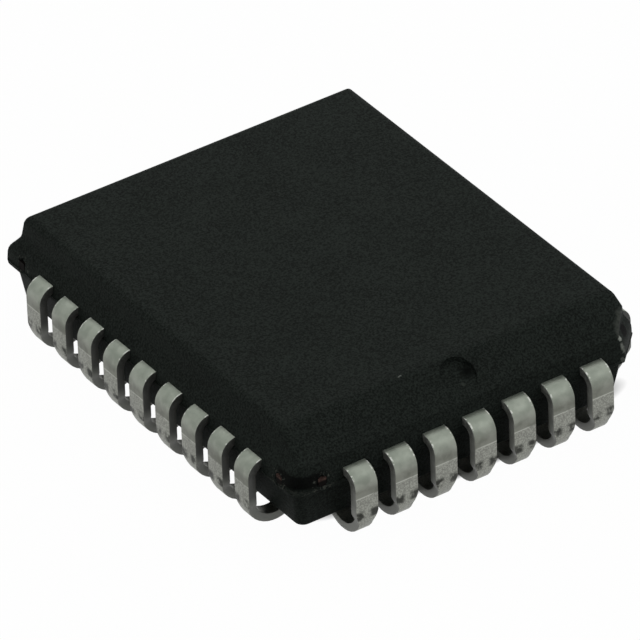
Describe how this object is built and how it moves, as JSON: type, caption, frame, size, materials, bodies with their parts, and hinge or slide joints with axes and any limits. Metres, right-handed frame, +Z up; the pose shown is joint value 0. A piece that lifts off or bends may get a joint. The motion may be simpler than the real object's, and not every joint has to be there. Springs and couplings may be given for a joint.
{
  "type": "PLCC chip",
  "caption": "Surface-mount integrated circuit in a black moulded block, with J leads tucked under all its sides and a bevelled corner and a round dimple that mark pin 1.",
  "frame": {"origin": "on the board, under the middle of the block", "axes": "+Z up from the board, +Y towards the pin-1 end, the long way of the block along Y"},
  "size_m": [0.0124, 0.015, 0.0033],
  "materials": {
    "mould_compound": "fine matte texture from the mould",
    "tinned_copper": "dull tin plating",
    "bare_copper": "stamped copper alloy, dull",
    "silver_adhesive": "matte, filled with silver",
    "silicon": "polished"
  },
  "bodies": {
    "root": {"moulded_body": "mould_compound", "lead_01": "tinned_copper", "lead_02": "tinned_copper", "lead_03": "tinned_copper", "lead_04": "tinned_copper", "lead_05": "tinned_copper", "lead_06": "tinned_copper", "lead_07": "tinned_copper", "lead_08": "tinned_copper", "lead_09": "tinned_copper", "lead_10": "tinned_copper", "lead_11": "tinned_copper", "lead_12": "tinned_copper", "lead_13": "tinned_copper", "lead_14": "tinned_copper", "lead_15": "tinned_copper", "lead_16": "tinned_copper", "lead_17": "tinned_copper", "lead_18": "tinned_copper", "lead_19": "tinned_copper", "lead_20": "tinned_copper", "lead_21": "tinned_copper", "lead_22": "tinned_copper", "lead_23": "tinned_copper", "lead_24": "tinned_copper", "lead_25": "tinned_copper", "lead_26": "tinned_copper", "lead_27": "tinned_copper", "lead_28": "tinned_copper", "lead_29": "tinned_copper", "lead_30": "tinned_copper", "lead_31": "tinned_copper", "lead_32": "tinned_copper", "die_paddle": "bare_copper", "die_attach": "silver_adhesive", "silicon_die": "silicon"}
  },
  "joints": []
}
